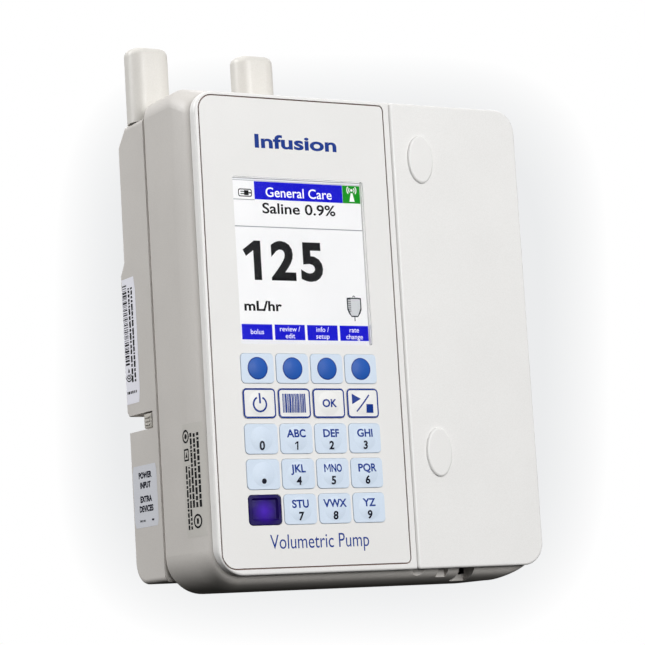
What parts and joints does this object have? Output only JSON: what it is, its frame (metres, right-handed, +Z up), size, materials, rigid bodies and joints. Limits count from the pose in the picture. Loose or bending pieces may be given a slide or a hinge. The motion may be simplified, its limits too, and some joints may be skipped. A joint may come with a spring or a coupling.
{
  "type": "infusion pump",
  "caption": "Keypad infusion pump with a display, a side-hinged door over a finger mechanism, and a clip-on battery module with stub aerials.",
  "frame": {"origin": "under the middle of the pump, on the plane its flat underside rests on", "axes": "+Z up, the front with display and door faces -Y, +X to the right seen from the front"},
  "size_m": [0.1172, 0.0536, 0.1682],
  "materials": {
    "white_plastic": "satin moulded",
    "overlay_film": "printed film, fine texture",
    "clear_window": "clear, polished",
    "display": "backlit display",
    "scan_lens": "tinted, polished",
    "silicone": "matt",
    "circuit_board": "solder mask",
    "grey_plastic": "fine spark texture",
    "dark_plastic": "moulded",
    "sensor_plastic": "moulded",
    "steel": "brushed",
    "bearing_steel": "polished",
    "plate_aluminium": "anodised",
    "gear_plastic": "acetal",
    "brass": "cut",
    "liner_plastic": "moulded",
    "finger_plastic": "acetal",
    "cell_wrap": "heat-shrink sleeve",
    "antenna_plastic": "moulded",
    "latch_plastic": "moulded",
    "key_blue": "soft-touch",
    "key_white": "soft-touch"
  },
  "bodies": {
    "pump_body": {"front_bezel": "white_plastic", "keypad_overlay": "overlay_film", "display_window": "clear_window", "display_panel": "display", "scan_window": "scan_lens", "keypad_mat": "silicone", "keypad_board": "circuit_board", "main_housing": "grey_plastic", "main_board": "circuit_board", "mechanism_chassis": "dark_plastic", "latch_clips": "steel", "camshaft_bearings": "bearing_steel", "drive_motor": "steel", "occlusion_sensors": "dark_plastic", "air_sensor": "sensor_plastic", "hinge_brackets": "steel", "mounting_plate": "plate_aluminium", "plate_screws": "bearing_steel"},
    "door": {"door_shell": "white_plastic", "door_liner": "liner_plastic", "platen": "steel", "platen_springs": "steel", "latch_studs": "steel", "hinge_pins": "steel"},
    "camshaft": {"camshaft": "steel", "cam_gear": "gear_plastic"},
    "pinion": {"motor_pinion": "brass"},
    "battery_module": {"module_shell": "grey_plastic", "module_cover": "grey_plastic", "battery_cells": "cell_wrap", "radio_board": "circuit_board", "antenna_left": "antenna_plastic", "antenna_right": "antenna_plastic", "power_jack": "dark_plastic"},
    "module_latch": {"module_latch": "latch_plastic"},
    "finger_1": {"pump_finger_1": "finger_plastic"},
    "finger_2": {"pump_finger_2": "finger_plastic"},
    "finger_3": {"pump_finger_3": "finger_plastic"},
    "finger_4": {"pump_finger_4": "finger_plastic"},
    "finger_5": {"pump_finger_5": "finger_plastic"},
    "finger_6": {"pump_finger_6": "finger_plastic"},
    "key_soft_1": {"key_soft_1": "key_blue"},
    "key_soft_2": {"key_soft_2": "key_blue"},
    "key_soft_3": {"key_soft_3": "key_blue"},
    "key_soft_4": {"key_soft_4": "key_blue"},
    "key_power": {"key_power": "key_white"},
    "key_scan": {"key_scan": "key_white"},
    "key_ok": {"key_ok": "key_white"},
    "key_run_stop": {"key_run_stop": "key_white"},
    "key_point": {"key_point": "key_blue"},
    "key_0": {"key_0": "key_blue"},
    "key_1": {"key_1": "key_blue"},
    "key_2": {"key_2": "key_blue"},
    "key_3": {"key_3": "key_blue"},
    "key_4": {"key_4": "key_blue"},
    "key_5": {"key_5": "key_blue"},
    "key_6": {"key_6": "key_blue"},
    "key_7": {"key_7": "key_blue"},
    "key_8": {"key_8": "key_blue"},
    "key_9": {"key_9": "key_blue"}
  },
  "joints": [
    {"name": "door_hinge", "type": "hinge", "parent": "pump_body", "child": "door", "pos_m": [0.01242, -0.02438, 0.07525], "axis": [0, 0, -1], "range_deg": [0, 100]},
    {"name": "camshaft_spin", "type": "hinge", "parent": "pump_body", "child": "camshaft", "pos_m": [0.02975, -0.00558, 0.07975], "axis": [0, 0, 1], "continuous": true},
    {"name": "pinion_spin", "type": "hinge", "parent": "pump_body", "child": "pinion", "pos_m": [0.02135, -0.00558, 0.11675], "axis": [0, 0, 1], "continuous": true},
    {"name": "module_release", "type": "slide", "parent": "pump_body", "child": "battery_module", "axis": [0, 1, 0], "range_m": [0, 0.03]},
    {"name": "latch_press", "type": "slide", "parent": "battery_module", "child": "module_latch", "axis": [1, 0, 0], "range_m": [0, 0.0015], "stiffness_N_per_m": 400},
    {"name": "finger_1_slide", "type": "slide", "parent": "pump_body", "child": "finger_1", "axis": [0, -1, 0], "range_m": [0, 0.0012], "stiffness_N_per_m": 200},
    {"name": "finger_2_slide", "type": "slide", "parent": "pump_body", "child": "finger_2", "axis": [0, -1, 0], "range_m": [0, 0.0012], "stiffness_N_per_m": 200},
    {"name": "finger_3_slide", "type": "slide", "parent": "pump_body", "child": "finger_3", "axis": [0, -1, 0], "range_m": [0, 0.0012], "stiffness_N_per_m": 200},
    {"name": "finger_4_slide", "type": "slide", "parent": "pump_body", "child": "finger_4", "axis": [0, -1, 0], "range_m": [0, 0.0012], "stiffness_N_per_m": 200},
    {"name": "finger_5_slide", "type": "slide", "parent": "pump_body", "child": "finger_5", "axis": [0, -1, 0], "range_m": [0, 0.0012], "stiffness_N_per_m": 200},
    {"name": "finger_6_slide", "type": "slide", "parent": "pump_body", "child": "finger_6", "axis": [0, -1, 0], "range_m": [0, 0.0012], "stiffness_N_per_m": 200},
    {"name": "key_soft_1_press", "type": "slide", "parent": "pump_body", "child": "key_soft_1", "axis": [0, 1, 0], "range_m": [0, 0.0004], "stiffness_N_per_m": 300},
    {"name": "key_soft_2_press", "type": "slide", "parent": "pump_body", "child": "key_soft_2", "axis": [0, 1, 0], "range_m": [0, 0.0004], "stiffness_N_per_m": 300},
    {"name": "key_soft_3_press", "type": "slide", "parent": "pump_body", "child": "key_soft_3", "axis": [0, 1, 0], "range_m": [0, 0.0004], "stiffness_N_per_m": 300},
    {"name": "key_soft_4_press", "type": "slide", "parent": "pump_body", "child": "key_soft_4", "axis": [0, 1, 0], "range_m": [0, 0.0004], "stiffness_N_per_m": 300},
    {"name": "key_power_press", "type": "slide", "parent": "pump_body", "child": "key_power", "axis": [0, 1, 0], "range_m": [0, 0.0004], "stiffness_N_per_m": 300},
    {"name": "key_scan_press", "type": "slide", "parent": "pump_body", "child": "key_scan", "axis": [0, 1, 0], "range_m": [0, 0.0004], "stiffness_N_per_m": 300},
    {"name": "key_ok_press", "type": "slide", "parent": "pump_body", "child": "key_ok", "axis": [0, 1, 0], "range_m": [0, 0.0004], "stiffness_N_per_m": 300},
    {"name": "key_run_stop_press", "type": "slide", "parent": "pump_body", "child": "key_run_stop", "axis": [0, 1, 0], "range_m": [0, 0.0004], "stiffness_N_per_m": 300},
    {"name": "key_point_press", "type": "slide", "parent": "pump_body", "child": "key_point", "axis": [0, 1, 0], "range_m": [0, 0.0004], "stiffness_N_per_m": 300},
    {"name": "key_0_press", "type": "slide", "parent": "pump_body", "child": "key_0", "axis": [0, 1, 0], "range_m": [0, 0.0004], "stiffness_N_per_m": 300},
    {"name": "key_1_press", "type": "slide", "parent": "pump_body", "child": "key_1", "axis": [0, 1, 0], "range_m": [0, 0.0004], "stiffness_N_per_m": 300},
    {"name": "key_2_press", "type": "slide", "parent": "pump_body", "child": "key_2", "axis": [0, 1, 0], "range_m": [0, 0.0004], "stiffness_N_per_m": 300},
    {"name": "key_3_press", "type": "slide", "parent": "pump_body", "child": "key_3", "axis": [0, 1, 0], "range_m": [0, 0.0004], "stiffness_N_per_m": 300},
    {"name": "key_4_press", "type": "slide", "parent": "pump_body", "child": "key_4", "axis": [0, 1, 0], "range_m": [0, 0.0004], "stiffness_N_per_m": 300},
    {"name": "key_5_press", "type": "slide", "parent": "pump_body", "child": "key_5", "axis": [0, 1, 0], "range_m": [0, 0.0004], "stiffness_N_per_m": 300},
    {"name": "key_6_press", "type": "slide", "parent": "pump_body", "child": "key_6", "axis": [0, 1, 0], "range_m": [0, 0.0004], "stiffness_N_per_m": 300},
    {"name": "key_7_press", "type": "slide", "parent": "pump_body", "child": "key_7", "axis": [0, 1, 0], "range_m": [0, 0.0004], "stiffness_N_per_m": 300},
    {"name": "key_8_press", "type": "slide", "parent": "pump_body", "child": "key_8", "axis": [0, 1, 0], "range_m": [0, 0.0004], "stiffness_N_per_m": 300},
    {"name": "key_9_press", "type": "slide", "parent": "pump_body", "child": "key_9", "axis": [0, 1, 0], "range_m": [0, 0.0004], "stiffness_N_per_m": 300}
  ],
  "couplings": [
    {"joint": "pinion_spin", "follows": "camshaft_spin", "ratio": -2}
  ]
}
